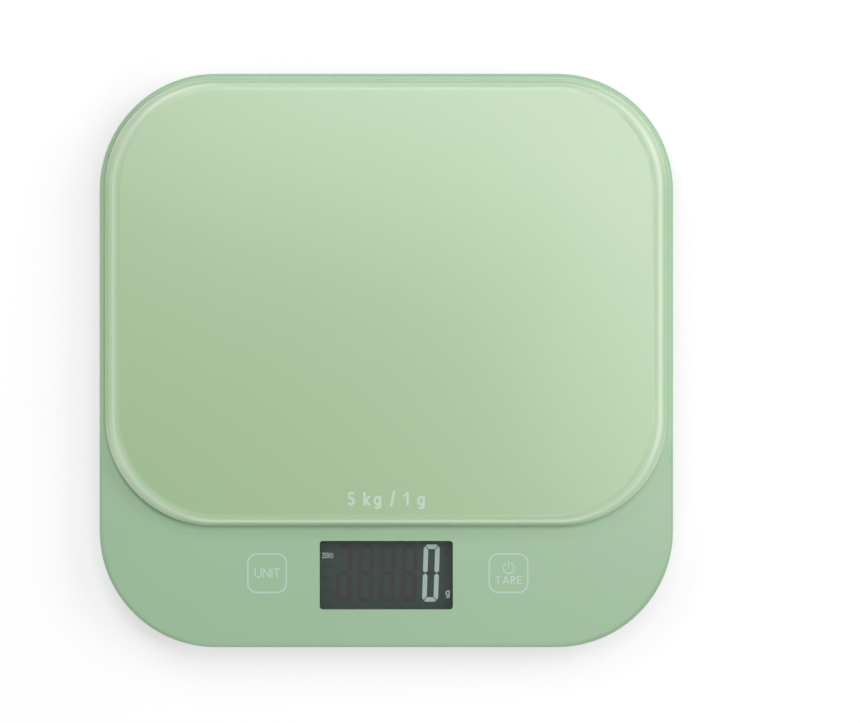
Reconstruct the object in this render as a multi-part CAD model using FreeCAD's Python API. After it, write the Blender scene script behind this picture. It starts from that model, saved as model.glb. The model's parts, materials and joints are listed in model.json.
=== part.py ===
"""Flat digital kitchen scale, square with large corners, one STEP file per piece.

Frame: origin on the table under the middle of the body, +X to the right, +Y to the rear
(away from the display) and +Z up.  All sizes are in millimetres.
"""
import FreeCAD, Part
import math
import os

Vector = FreeCAD.Vector
X_AXIS = Vector(1, 0, 0)
Y_AXIS = Vector(0, 1, 0)
Z_AXIS = Vector(0, 0, 1)

# ---- heights, from the table up ------------------------------------------------------
UNDERSIDE = 1.5            # outside of the bottom cover
FLOOR_TOP = 3.3            # inside of the bottom cover
PARTING = 6.0              # lower rim of the top cover
COVER_TOP = 17.2           # flat top of the body
COVER_INNER = 15.3         # underside of the top cover's flat wall
PLATFORM_GAP = 1.3         # air between body and weighing platform
PLATFORM_THICK = 4.0
OVERLOAD_TRAVEL = 0.8      # platform travel to the overload stops

# ---- body ----------------------------------------------------------------------------
BODY_SIDE = 200.0
BODY_CORNER = 40.5
SKIRT = 2.0                # wall of the top cover's skirt
TOP_EDGE_ROUND = 1.6
BELLY_ROUND = 4.0          # rounding under the bottom cover
TRAY_INSET = 0.3           # bottom cover stands in from the skirt
TRAY_GAP = 0.2             # open parting line
LIP_OUTER = 2.15           # locating lip, measured in from the body outline
LIP_INNER = 3.4
LIP_TOP = 8.0

# ---- weighing platform ---------------------------------------------------------------
PLATFORM_X = 195.4
PLATFORM_Y = 155.2
PLATFORM_CORNER = 37.5
PLATFORM_CENTRE_Y = 20.1
RIM_HEIGHT = 2.8           # the rim falls this far, along a quarter of an ellipse
RIM_SIDE = 5.4             # width of the curved rim at the left and right
RIM_END = 3.4              # and at the front and rear
RIM_CORNER = 2.9           # how much smaller the flat top's corner radius is
RIM_STEPS = 6
PLATFORM_UNDER_ROUND = 0.6

# ---- carrier under the platform, and the well it lies in -----------------------------
CARRIER_X = 120.0
CARRIER_Y = 88.0
CARRIER_CORNER = 20.0
CARRIER_THICK = 2.4
TAPE_THICK = 0.8
TAPE_PAD_X = 30.0
TAPE_PAD_Y = 20.0
TAPE_AT_X = 41.0
TAPE_AT_Y = 29.0
CARRIER_WEB = 1.2          # floor left under the carrier's pockets
POCKET_CORNER = 3.0
STOP_AT_X = 50.0
STOP_AT_Y = 34.0
STOP_RADIUS = 3.0
WELL_CLEARANCE = 2.0
WELL_FLOOR = 14.1          # upper face of the well's floor
WELL_FLOOR_THICK = 1.6
WELL_WALL = 1.8
STOP_CLEARANCE = 0.05

# ---- load cell -----------------------------------------------------------------------
CELL_LENGTH = 75.0
CELL_WIDTH = 12.0
CELL_HEIGHT = 6.5
CELL_BOTTOM = 5.0
CELL_BEAN_AT = 8.0         # centres of the two thin sections
CELL_BEAN_RADIUS = 2.4
CELL_SLOT_HALF = 0.8
CELL_SCREWS_FROM_END = (5.0, 20.0)
CELL_SCREW_RADIUS = 2.0
THREAD_CLEARANCE = 0.05
SCREW_HOLE_RADIUS = 2.2    # plain holes in front of the threads
PAN_HEAD_RADIUS = 3.6
PAN_HEAD_HEIGHT = 1.9
PAN_HEAD_SINK = 2.1        # depth of the head's pocket in the carrier
COUNTERSUNK_RADIUS = 3.8
COUNTERSUNK_HEIGHT = 2.0
RECESS_WIDTH = 0.9
END_PLATE_LENGTH = 24.5
END_PLATE_WIDTH = 14.0
BASE_PLATE_THICK = 1.2
GAUGE_THICK = 0.15
COATING_THICK = 0.8
COATING_X = 23.0
COATING_Y = 10.5
GAUGE_X = 5.0
GAUGE_Y = 6.5
CELL_LEAD = 0.8
CELL_LEAD_SPACING = 1.15
CELL_LEAD_BEND = 2.6
LEAD_END_Y = -48.0         # all leads rise to the board here

# ---- display -------------------------------------------------------------------------
WINDOW_X = 46.2
WINDOW_Y = 23.7
WINDOW_CORNER = 1.0
WINDOW_CENTRE_Y = -74.8
WINDOW_CLEARANCE = 0.1
WINDOW_SINK = 0.12         # window face below the body's top
FLANGE_X = 50.0
FLANGE_Y = 27.5
FLANGE_BOTTOM = 14.0
WINDOW_TAPE = 0.3
LCD_X = 50.0
LCD_Y = 27.5
LCD_LEDGE = 3.5            # contact ledge of the front glass
LCD_GLASS = 0.7
POLARISER = 0.2
POLARISER_TOP = 13.7
FRAME_WALL = 1.8
FRAME_TOP = 13.4
FIT_GAP = 0.2

# ---- circuit board -------------------------------------------------------------------
BOARD_X = 104.0
BOARD_Y0 = -91.0
BOARD_Y1 = -43.0
BOARD_THICK = 1.2
BOARD_TOP = 9.9
BOARD_SCREWS = ((-48.0, -88.0), (48.0, -88.0), (-48.0, -46.0), (48.0, -46.0))
TOUCH_X = 42.05
TOUCH_Y = -74.2
TOUCH_COIL_RADIUS = 2.6
TOUCH_WIRE = 0.5
TOUCH_TURN = 1.2
BOARD_BOSS_RADIUS = 2.5
BOARD_PILOT_RADIUS = 0.95
BOARD_SCREW_RADIUS = 0.9
BOARD_SCREW_REACH = 1.4    # tip below the cover's wall

# ---- battery bay, two AAA cells side by side -----------------------------------------
BAY_HALF_X = 25.0
BAY_Y0 = 71.5
BAY_Y1 = 93.7
BAY_WALL = 1.2
BAY_CEILING = 14.1
BAY_CEILING_THICK = 1.0
BATTERY_RADIUS = 5.15
BATTERY_LENGTH = 44.5
BATTERY_NUB = 1.0
BATTERY_NUB_RADIUS = 1.9
BATTERY_Z = 8.75
BATTERY_FRONT_Y = 77.1
BATTERY_REAR_Y = 88.1
CONTACT_THICK = 0.4
CONTACT_HALF_Y = 4.2
CONTACT_Z0 = 4.4
CONTACT_Z1 = 12.9
CONTACT_TAIL = 3.5
TAIL_Z = 10.0
SPRING_RADIUS = 2.6
SPRING_WIRE = 0.7
SPRING_TURN = 1.15
BATTERY_LEAD = 1.2
BATTERY_LEAD_BEND = 2.8
RED_RUN_X = 42.0
BLACK_RUN_X = 44.5

# ---- battery door --------------------------------------------------------------------
DOOR_GAP = 0.3
TAB_REACH = 2.2            # past the bay's rear wall face
TAB_X = 14.0
TAB_WIDTH = 8.0
TAB_Z0 = 3.5
TAB_Z1 = 4.7
TAB_SLOT_TOP = 5.9
LATCH_WIDTH = 12.0
LATCH_LENGTH = 7.5
LATCH_SLIT = 0.8

# ---- feet, screws, label -------------------------------------------------------------
FOOT_AT = 72.0
FOOT_RADIUS = 7.0
FOOT_SEAT = 2.5
FOOT_PAD_TOP = 4.1
HOUSING_SCREWS = ((-60.0, -86.0), (60.0, -86.0), (-88.0, 0.0), (88.0, 0.0), (-60.0, 86.0), (60.0, 86.0))
HOUSING_SEAT = 5.5         # the screw heads bear here
HOUSING_JOIN = 8.0         # the two bosses meet here
HOUSING_SCREW_TOP = 13.2
HOUSING_SCREW_RADIUS = 1.25
HOUSING_PILOT_RADIUS = 1.3
HOUSING_BOSS_RADIUS = 3.3
HOUSING_TUBE_RADIUS = 4.2
HOUSING_POCKET_RADIUS = 2.9
RIB_THICK = 1.2
RIB_HEIGHT = 2.0
SINK = 0.5                 # depth by which added solids enter the wall that they join
LABEL_X = 58.0
LABEL_Y = 30.0
LABEL_Y_AT = -34.0
LABEL_THICK = 0.1

# ---- values that follow from the ones above ------------------------------------------
PLATFORM_BOTTOM = COVER_TOP + PLATFORM_GAP
PLATFORM_TOP = PLATFORM_BOTTOM + PLATFORM_THICK
CARRIER_TOP = PLATFORM_BOTTOM - TAPE_THICK
CARRIER_BOTTOM = CARRIER_TOP - CARRIER_THICK
WELL_UNDER = WELL_FLOOR - WELL_FLOOR_THICK
CELL_TOP = CELL_BOTTOM + CELL_HEIGHT
BOARD_BOTTOM = BOARD_TOP - BOARD_THICK
GLASS_SPLIT = POLARISER_TOP - POLARISER - LCD_GLASS
BACKLIGHT_TOP = GLASS_SPLIT - LCD_GLASS
CELL_Y0 = PLATFORM_CENTRE_Y - CELL_WIDTH / 2
CELL_Y1 = PLATFORM_CENTRE_Y + CELL_WIDTH / 2
PLATE_CENTRE_X = CELL_LENGTH / 2 - END_PLATE_LENGTH / 2
CELL_SCREW_X = [CELL_LENGTH / 2 - reach for reach in CELL_SCREWS_FROM_END]


# ---- small makers --------------------------------------------------------------------
def box(x0, x1, y0, y1, z0, z1):
    return Part.makeBox(x1 - x0, y1 - y0, z1 - z0, Vector(x0, y0, z0))


def centred_box(x, y, size_x, size_y, z0, z1):
    return box(x - size_x / 2, x + size_x / 2, y - size_y / 2, y + size_y / 2, z0, z1)


def disc(x, y, radius, z0, z1):
    return Part.makeCylinder(radius, z1 - z0, Vector(x, y, z0))


def rounded_face(size_x, size_y, corner, centre_y=0.0, z=0.0, centre_x=0.0):
    """Rectangle with round corners, lying flat at height z."""
    reach_x = size_x / 2 - corner
    reach_y = size_y / 2 - corner
    edges = []
    for turn in range(4):
        angle = turn * math.pi / 2
        sign_x = 1 if turn in (0, 3) else -1
        sign_y = 1 if turn in (0, 1) else -1
        middle = Vector(centre_x + sign_x * reach_x, centre_y + sign_y * reach_y, z)
        circle = Part.Circle(middle, Z_AXIS, corner)
        edges.append(Part.Arc(circle, angle, angle + math.pi / 2).toShape())
    corners = list(edges)
    for number, arc in enumerate(corners):
        following = corners[(number + 1) % 4]
        start = arc.valueAt(arc.LastParameter)
        end = following.valueAt(following.FirstParameter)
        edges.append(Part.makeLine(start, end))
    return Part.Face(Part.Wire(Part.__sortEdges__(edges)))


def rounded_block(size_x, size_y, corner, z0, z1, centre_y=0.0, centre_x=0.0):
    face = rounded_face(size_x, size_y, corner, centre_y, z0, centre_x)
    return face.extrude(Vector(0, 0, z1 - z0))


def body_block(inset, z0, z1):
    """Block with the body's outline, moved inwards by inset."""
    side = BODY_SIDE - 2 * inset
    return rounded_block(side, side, BODY_CORNER - inset, z0, z1)


def round_rim(shape, z, radius):
    """Rounds every edge that lies flat at height z."""
    rim = [e for e in shape.Edges if all(abs(v.Z - z) < 1e-6 for v in e.Vertexes)]
    return shape.makeFillet(radius, rim)


def join(first, *others):
    return first.multiFuse(list(others)).removeSplitter()


def cross_recess(x, y, z0, z1, span, width=0.7):
    """Cross slot of a Phillips head."""
    along = centred_box(x, y, span, width, z0, z1)
    across = centred_box(x, y, width, span, z0, z1)
    return along.fuse(across)


def screw_up(x, y, head_z, head_radius, head_height, shank_radius, tip_z):
    """Pan-head screw driven upwards: its head bears at head_z and hangs below it."""
    head = disc(x, y, head_radius, head_z - head_height, head_z)
    head = round_rim(head, head_z - head_height, head_height * 0.35)
    shank = disc(x, y, shank_radius, head_z, tip_z)
    recess_top = head_z - head_height * 0.35
    recess = cross_recess(x, y, head_z - head_height - 0.1, recess_top, head_radius * 1.1)
    return head.fuse(shank).cut(recess).removeSplitter()


def smooth_path(points, radius):
    """Straight runs joined by tangent arcs of one radius."""
    points = [Vector(*p) for p in points]
    edges = []
    start = points[0]
    for before, corner, after in zip(points, points[1:], points[2:]):
        inward = (corner - before).normalize()
        outward = (after - corner).normalize()
        turn = inward.getAngle(outward)
        cut = radius * math.tan(turn / 2)
        enter = corner - inward * cut
        leave = corner + outward * cut
        towards_centre = (outward - inward).normalize()
        centre = corner + towards_centre * (radius / math.cos(turn / 2))
        middle = centre - towards_centre * radius
        edges.append(Part.makeLine(start, enter))
        edges.append(Part.Arc(enter, middle, leave).toShape())
        start = leave
    edges.append(Part.makeLine(start, points[-1]))
    return Part.Wire(edges)


def lead(points, diameter, radius):
    """Insulated wire along a smooth path."""
    path = smooth_path(points, radius)
    first = Vector(*points[0])
    heading = (Vector(*points[1]) - first).normalize()
    profile = Part.Wire(Part.makeCircle(diameter / 2, first, heading))
    return path.makePipeShell([profile], True, False)


def coil_spring(radius, wire, length, pitch):
    """Cylindrical coil along +Z from z = 0 to z = length."""
    helix = Part.makeHelix(pitch, length - wire, radius)
    helix.translate(Vector(0, 0, wire / 2))
    start = Vector(radius, 0, wire / 2)
    profile = Part.Wire(Part.makeCircle(wire / 2, start, Y_AXIS))
    return Part.Wire(helix.Edges).makePipeShell([profile], True, True)


# ---- weighing platform ---------------------------------------------------------------
def rim_outline(step):
    """The glass's outline at one step up its curved rim, from the side wall to the flat top."""
    turn = math.pi / 2 * step / RIM_STEPS
    inset = 1 - math.cos(turn)
    return rounded_face(
        PLATFORM_X - 2 * RIM_SIDE * inset, PLATFORM_Y - 2 * RIM_END * inset,
        PLATFORM_CORNER - RIM_CORNER * inset, PLATFORM_CENTRE_Y,
        PLATFORM_TOP - RIM_HEIGHT * (1 - math.sin(turn)),
    ).OuterWire


def platform_glass():
    wall = rounded_block(
        PLATFORM_X, PLATFORM_Y, PLATFORM_CORNER, PLATFORM_BOTTOM, PLATFORM_TOP - RIM_HEIGHT,
        PLATFORM_CENTRE_Y,
    )
    wall = round_rim(wall, PLATFORM_BOTTOM, PLATFORM_UNDER_ROUND)
    crown = Part.makeLoft([rim_outline(step) for step in range(RIM_STEPS + 1)], True)
    return join(wall, crown)


def platform_tape():
    """Four foam tape pads between the glass and its carrier."""
    pads = []
    for x in (-TAPE_AT_X, TAPE_AT_X):
        for y in (-TAPE_AT_Y, TAPE_AT_Y):
            at_y = PLATFORM_CENTRE_Y + y
            pads.append(centred_box(x, at_y, TAPE_PAD_X, TAPE_PAD_Y, CARRIER_TOP, PLATFORM_BOTTOM))
    return Part.makeCompound(pads)


def platform_carrier():
    """Moulded tray that is stuck under the glass and screwed to the load cell."""
    tray = rounded_block(
        CARRIER_X, CARRIER_Y, CARRIER_CORNER, CARRIER_BOTTOM, CARRIER_TOP, PLATFORM_CENTRE_Y
    )
    plate_top = CELL_TOP + platform_plate_thick()
    boss = centred_box(
        PLATE_CENTRE_X, PLATFORM_CENTRE_Y, END_PLATE_LENGTH - 1, END_PLATE_WIDTH, plate_top, CARRIER_TOP
    )
    tray = join(tray, boss)
    pocket_z = CARRIER_BOTTOM + CARRIER_WEB
    for x in (-39.0, -13.0):
        tray = tray.cut(rounded_block(22, 26, POCKET_CORNER, pocket_z, CARRIER_TOP, PLATFORM_CENTRE_Y, x))
    for x in (-12.5, 12.5):
        for side in (-1, 1):
            at_y = PLATFORM_CENTRE_Y + side * TAPE_AT_Y
            tray = tray.cut(rounded_block(20, 18, POCKET_CORNER, pocket_z, CARRIER_TOP, at_y, x))
    for x in CELL_SCREW_X:
        tray = tray.cut(disc(x, PLATFORM_CENTRE_Y, SCREW_HOLE_RADIUS, plate_top, CARRIER_TOP))
        pocket = disc(x, PLATFORM_CENTRE_Y, PAN_HEAD_RADIUS + 0.3, CARRIER_TOP - PAN_HEAD_SINK, CARRIER_TOP)
        tray = tray.cut(pocket)
    return tray


def platform_plate_thick():
    """The upper end plate fills the height from the load cell to the carrier's boss."""
    return WELL_UNDER + 0.8 - CELL_TOP


def end_plate(side, z0, z1):
    """Steel plate that spreads the load at one end of the load cell."""
    plate = centred_box(
        side * PLATE_CENTRE_X, PLATFORM_CENTRE_Y, END_PLATE_LENGTH, END_PLATE_WIDTH, z0, z1
    )
    for x in CELL_SCREW_X:
        plate = plate.cut(disc(side * x, PLATFORM_CENTRE_Y, SCREW_HOLE_RADIUS, z0, z1))
    return plate


def platform_plate():
    return end_plate(1, CELL_TOP, CELL_TOP + platform_plate_thick())


def platform_screws():
    """Two pan-head screws, driven down through the carrier into the load cell."""
    screws = []
    head_z = CARRIER_TOP - PAN_HEAD_SINK
    head_top = head_z + PAN_HEAD_HEIGHT
    for x in CELL_SCREW_X:
        head = disc(x, PLATFORM_CENTRE_Y, PAN_HEAD_RADIUS, head_z, head_top)
        head = round_rim(head, head_top, 0.7)
        shank = disc(x, PLATFORM_CENTRE_Y, CELL_SCREW_RADIUS, CELL_BOTTOM + 0.8, head_z)
        recess = cross_recess(x, PLATFORM_CENTRE_Y, head_z + 0.7, head_top + 0.1, 4.0, RECESS_WIDTH)
        screws.append(head.fuse(shank).cut(recess).removeSplitter())
    return Part.makeCompound(screws)


# ---- load cell -----------------------------------------------------------------------
def load_cell():
    """Aluminium bar with a double-bean hole that leaves two thin bending sections."""
    bar = box(-CELL_LENGTH / 2, CELL_LENGTH / 2, CELL_Y0, CELL_Y1, CELL_BOTTOM, CELL_TOP)
    middle_z = (CELL_BOTTOM + CELL_TOP) / 2
    hole = box(
        -CELL_BEAN_AT, CELL_BEAN_AT, CELL_Y0, CELL_Y1, middle_z - CELL_SLOT_HALF, middle_z + CELL_SLOT_HALF
    )
    for x in (-CELL_BEAN_AT, CELL_BEAN_AT):
        start = Vector(x, CELL_Y0, middle_z)
        hole = hole.fuse(Part.makeCylinder(CELL_BEAN_RADIUS, CELL_WIDTH, start, Y_AXIS))
    bar = bar.cut(hole)
    for side in (-1, 1):
        for x in CELL_SCREW_X:
            radius = CELL_SCREW_RADIUS + THREAD_CLEARANCE
            bar = bar.cut(disc(side * x, PLATFORM_CENTRE_Y, radius, CELL_BOTTOM, CELL_TOP))
    return bar


def load_cell_plate():
    return end_plate(-1, CELL_BOTTOM - BASE_PLATE_THICK, CELL_BOTTOM)


def load_cell_screws():
    """Two countersunk screws, driven up through the bottom cover into the load cell."""
    screws = []
    face_z = UNDERSIDE + 0.1
    neck_z = face_z + COUNTERSUNK_HEIGHT
    for x in CELL_SCREW_X:
        at = Vector(-x, PLATFORM_CENTRE_Y, face_z)
        head = Part.makeCone(COUNTERSUNK_RADIUS, CELL_SCREW_RADIUS, COUNTERSUNK_HEIGHT, at)
        shank = disc(-x, PLATFORM_CENTRE_Y, CELL_SCREW_RADIUS, neck_z, CELL_TOP - 1.0)
        recess = cross_recess(-x, PLATFORM_CENTRE_Y, UNDERSIDE, face_z + 1.2, 4.0, RECESS_WIDTH)
        screws.append(head.fuse(shank).cut(recess).removeSplitter())
    return Part.makeCompound(screws)


def strain_gauges():
    """Four foil gauges, over and under the two thin sections."""
    gauges = []
    for x in (-CELL_BEAN_AT, CELL_BEAN_AT):
        for z in (CELL_BOTTOM - GAUGE_THICK, CELL_TOP):
            gauges.append(centred_box(x, PLATFORM_CENTRE_Y, GAUGE_X, GAUGE_Y, z, z + GAUGE_THICK))
    return Part.makeCompound(gauges)


def gauge_coating():
    """Soft white sealant that covers the gauges on both faces of the bar."""
    patches = []
    for face_z, outer_z in ((CELL_TOP, CELL_TOP + COATING_THICK), (CELL_BOTTOM, CELL_BOTTOM - COATING_THICK)):
        low = min(face_z, outer_z)
        high = max(face_z, outer_z)
        patch = rounded_block(COATING_X, COATING_Y, 2.5, low, high, PLATFORM_CENTRE_Y)
        patches.append(round_rim(patch, outer_z, 0.4))
    return Part.makeCompound(patches).cut(strain_gauges())


def load_cell_lead(number):
    """One of four leads: along the bar, down its side, over the floor and up to the board."""
    y = PLATFORM_CENTRE_Y + (number - 1.5) * CELL_LEAD_SPACING
    x = -19.0 - number * CELL_LEAD_SPACING
    start_x = -COATING_X / 2 - 0.1
    high = CELL_TOP + CELL_LEAD / 2 + 0.02
    low = FLOOR_TOP + CELL_LEAD / 2 + 0.02
    points = [
        (start_x, y, high), (x, y, high), (x, CELL_Y0 - 6.3, high), (x, CELL_Y0 - 13.3, low),
        (x, LEAD_END_Y, low), (x, LEAD_END_Y, BOARD_BOTTOM),
    ]
    return lead(points, CELL_LEAD, CELL_LEAD_BEND)


# ---- top cover -----------------------------------------------------------------------
def top_cover():
    shell = round_rim(body_block(0, PARTING, COVER_TOP), COVER_TOP, TOP_EDGE_ROUND)
    shell = shell.cut(body_block(SKIRT, PARTING, COVER_INNER))
    shell = add_well(shell)
    shell = shell.cut(rounded_block(
        WINDOW_X + 2 * WINDOW_CLEARANCE, WINDOW_Y + 2 * WINDOW_CLEARANCE,
        WINDOW_CORNER + WINDOW_CLEARANCE, COVER_INNER - 1, COVER_TOP + 1, WINDOW_CENTRE_Y,
    ))
    return add_cover_bosses(shell)


def add_well(shell):
    """Sinks the well that hides the carrier, with its stops and the way down to the load cell."""
    size_x = CARRIER_X + 2 * WELL_CLEARANCE
    size_y = CARRIER_Y + 2 * WELL_CLEARANCE
    corner = CARRIER_CORNER + WELL_CLEARANCE
    outside = rounded_block(
        size_x + 2 * WELL_WALL, size_y + 2 * WELL_WALL, corner + WELL_WALL,
        WELL_UNDER, COVER_INNER + SINK, PLATFORM_CENTRE_Y,
    )
    shell = join(shell, outside)
    shell = shell.cut(rounded_block(size_x, size_y, corner, WELL_FLOOR, COVER_TOP + 1, PLATFORM_CENTRE_Y))
    way_down = rounded_block(
        END_PLATE_LENGTH + 3, END_PLATE_WIDTH + 3, 2, WELL_UNDER - 1, WELL_FLOOR + 1,
        PLATFORM_CENTRE_Y, PLATE_CENTRE_X,
    )
    shell = shell.cut(way_down)
    stop_top = CARRIER_BOTTOM - OVERLOAD_TRAVEL - STOP_CLEARANCE
    stops = []
    for x in (-STOP_AT_X, STOP_AT_X):
        for y in (-STOP_AT_Y, STOP_AT_Y):
            stops.append(disc(x, PLATFORM_CENTRE_Y + y, STOP_RADIUS, WELL_FLOOR - SINK, stop_top))
    return join(shell, *stops)


def add_cover_bosses(shell):
    """Screw bosses for the bottom cover and for the circuit board, and stiffening ribs."""
    wall = COVER_INNER + SINK
    posts = [disc(x, y, HOUSING_BOSS_RADIUS, HOUSING_JOIN, wall) for x, y in HOUSING_SCREWS]
    posts += [disc(x, y, BOARD_BOSS_RADIUS, BOARD_TOP, wall) for x, y in BOARD_SCREWS]
    for x in (-76.0, 76.0):
        posts.append(centred_box(x, PLATFORM_CENTRE_Y, RIB_THICK, 120, COVER_INNER - RIB_HEIGHT, wall))
    shell = join(shell, *posts)
    for x, y in HOUSING_SCREWS:
        shell = shell.cut(disc(x, y, HOUSING_PILOT_RADIUS, HOUSING_JOIN - 1, HOUSING_SCREW_TOP + 0.8))
    for x, y in BOARD_SCREWS:
        shell = shell.cut(disc(x, y, BOARD_PILOT_RADIUS, BOARD_TOP - 1, COVER_INNER - 1))
    return shell


# ---- bottom cover --------------------------------------------------------------------
def bottom_cover():
    tray = round_rim(body_block(TRAY_INSET, UNDERSIDE, PARTING - TRAY_GAP), UNDERSIDE, BELLY_ROUND)
    tray = join(tray, body_block(LIP_OUTER, PARTING - TRAY_GAP - 1, LIP_TOP))
    tray = tray.cut(body_block(LIP_INNER, FLOOR_TOP, LIP_TOP + 1))
    tray = join(tray, *floor_features())
    tray = cut_screw_holes(tray)
    tray = cut_foot_seats(tray)
    return cut_battery_bay(tray)


def floor_features():
    """Bosses, pads and ribs that stand on the floor, and the outside of the battery bay."""
    below = FLOOR_TOP - SINK
    solids = [disc(x, y, HOUSING_TUBE_RADIUS, below, HOUSING_JOIN - 0.1) for x, y in HOUSING_SCREWS]
    for x in (-FOOT_AT, FOOT_AT):
        for y in (-FOOT_AT, FOOT_AT):
            solids.append(disc(x, y, FOOT_RADIUS + 1.2, below, FOOT_PAD_TOP))
    pad_top = CELL_BOTTOM - BASE_PLATE_THICK
    solids.append(centred_box(-PLATE_CENTRE_X, PLATFORM_CENTRE_Y, 28, 18, below, pad_top))
    for x in (-56.0, 56.0):
        solids.append(centred_box(x, 0, RIB_THICK, 110, below, FLOOR_TOP + RIB_HEIGHT))
    for y in (-36.0, 58.0):
        for x in (-71.0, 71.0):
            solids.append(centred_box(x, y, 30, RIB_THICK, below, FLOOR_TOP + RIB_HEIGHT))
    solids.append(box(
        -BAY_HALF_X - BAY_WALL, BAY_HALF_X + BAY_WALL, BAY_Y0 - BAY_WALL, BAY_Y1 + BAY_WALL,
        below, BAY_CEILING + BAY_CEILING_THICK,
    ))
    return solids


def cut_screw_holes(tray):
    for x, y in HOUSING_SCREWS:
        tray = tray.cut(disc(x, y, HOUSING_POCKET_RADIUS, UNDERSIDE - 1, HOUSING_SEAT))
        tray = tray.cut(disc(x, y, HOUSING_SCREW_RADIUS + 0.15, HOUSING_SEAT - 1, HOUSING_JOIN))
    for x in CELL_SCREW_X:
        tray = tray.cut(disc(-x, PLATFORM_CENTRE_Y, SCREW_HOLE_RADIUS, UNDERSIDE - 1, CELL_BOTTOM))
        at = Vector(-x, PLATFORM_CENTRE_Y, UNDERSIDE)
        depth = COUNTERSUNK_HEIGHT + 0.2
        tray = tray.cut(Part.makeCone(COUNTERSUNK_RADIUS + 0.3, SCREW_HOLE_RADIUS, depth, at))
    return tray


def cut_foot_seats(tray):
    for x in (-FOOT_AT, FOOT_AT):
        for y in (-FOOT_AT, FOOT_AT):
            tray = tray.cut(disc(x, y, FOOT_RADIUS + 0.15, UNDERSIDE - 1, FOOT_SEAT))
    return tray


def cut_battery_bay(tray):
    """Opens the bay from below, with slots for the door's tabs and for the contact tails."""
    tray = tray.cut(box(-BAY_HALF_X, BAY_HALF_X, BAY_Y0, BAY_Y1, UNDERSIDE - 1, BAY_CEILING))
    for x in (-TAB_X, TAB_X):
        tray = tray.cut(centred_box(x, BAY_Y1, TAB_WIDTH + 0.8, 4, FLOOR_TOP, TAB_SLOT_TOP))
    for y in (BATTERY_FRONT_Y, BATTERY_REAR_Y):
        tray = tray.cut(box(BAY_HALF_X - 1, BAY_HALF_X + 2, y - 1.5, y + 1.5, TAIL_Z - 0.4, TAIL_Z + 0.4))
    finger = Part.makeCylinder(7, 4, Vector(0, BAY_Y0 + 3.5, UNDERSIDE - 2.8))
    return tray.cut(finger)


# ---- battery door and battery contacts -----------------------------------------------
def battery_door():
    """Door with two tabs at the rear, a spring latch at the front and grip ribs outside."""
    y0 = BAY_Y0 + DOOR_GAP
    y1 = BAY_Y1 - DOOR_GAP
    reach_x = BAY_HALF_X - DOOR_GAP
    plate = box(-reach_x, reach_x, y0, y1, UNDERSIDE, FLOOR_TOP)
    tabs = []
    for x in (-TAB_X, TAB_X):
        left = x - TAB_WIDTH / 2
        right = x + TAB_WIDTH / 2
        tabs.append(box(left, right, y1 - 1.2, BAY_Y1 + TAB_REACH, TAB_Z0, TAB_Z1))
        tabs.append(box(left, right, y1 - 1.2, y1, FLOOR_TOP - SINK, TAB_Z1))
    latch_root = y0 + LATCH_LENGTH
    hook = centred_box(0, y0 + 1.2, LATCH_WIDTH - 2, 0.9, FLOOR_TOP - SINK, FLOOR_TOP + 1.4)
    door = join(plate, hook, *tabs)
    for side in (-1, 1):
        slit_x = side * (LATCH_WIDTH / 2 + LATCH_SLIT / 2)
        door = door.cut(box(
            slit_x - LATCH_SLIT / 2, slit_x + LATCH_SLIT / 2, y0 - 1, latch_root, UNDERSIDE - 1, FLOOR_TOP + 1
        ))
    for number in range(4):
        y = latch_root + 3.0 + number * 2.2
        door = door.cut(centred_box(0, y, 16, 1.0, UNDERSIDE - 0.1, UNDERSIDE + 0.4))
    return door


def battery(y, plus_side):
    """AAA cell lying along X, with its positive nub towards plus_side."""
    can_length = BATTERY_LENGTH - BATTERY_NUB
    nub_tip = BAY_HALF_X - CONTACT_THICK
    can_end = nub_tip - BATTERY_NUB
    start = Vector(can_end - can_length, y, BATTERY_Z)
    can = Part.makeCylinder(BATTERY_RADIUS, can_length, start, X_AXIS)
    rims = [e for e in can.Edges if len(e.Vertexes) == 1]
    can = can.makeFillet(0.4, rims)
    nub = Part.makeCylinder(BATTERY_NUB_RADIUS, BATTERY_NUB, Vector(can_end, y, BATTERY_Z), X_AXIS)
    cell = can.fuse(nub).removeSplitter()
    if plus_side < 0:
        cell = cell.mirror(Vector(0, 0, 0), X_AXIS)
    return cell


def contact_plate(side, y0, y1):
    face_x = BAY_HALF_X - CONTACT_THICK
    plate = box(face_x, BAY_HALF_X, y0, y1, CONTACT_Z0, CONTACT_Z1)
    if side < 0:
        plate = plate.mirror(Vector(0, 0, 0), X_AXIS)
    return plate


def terminal_plate(y):
    """Contact plate with a tail that passes through the bay's end wall."""
    plate = contact_plate(1, y - CONTACT_HALF_Y, y + CONTACT_HALF_Y)
    tail = box(
        BAY_HALF_X - CONTACT_THICK, BAY_HALF_X + CONTACT_TAIL, y - 1.2, y + 1.2,
        TAIL_Z - CONTACT_THICK / 2, TAIL_Z + CONTACT_THICK / 2,
    )
    return join(plate, tail)


def contact_bridge():
    """Plate that joins the two cells at the left end of the bay."""
    return contact_plate(-1, BATTERY_FRONT_Y - CONTACT_HALF_Y, BATTERY_REAR_Y + CONTACT_HALF_Y)


def battery_spring(side, y):
    """Coil between a contact plate and the flat end of a cell."""
    length = 2 * (BAY_HALF_X - CONTACT_THICK) - BATTERY_LENGTH
    spring = coil_spring(SPRING_RADIUS, SPRING_WIRE, length, SPRING_TURN)
    spring.rotate(Vector(0, 0, 0), Y_AXIS, 90)
    spring.translate(Vector(-(BAY_HALF_X - CONTACT_THICK), y, BATTERY_Z))
    if side > 0:
        spring = spring.mirror(Vector(0, 0, 0), X_AXIS)
    return spring


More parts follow.
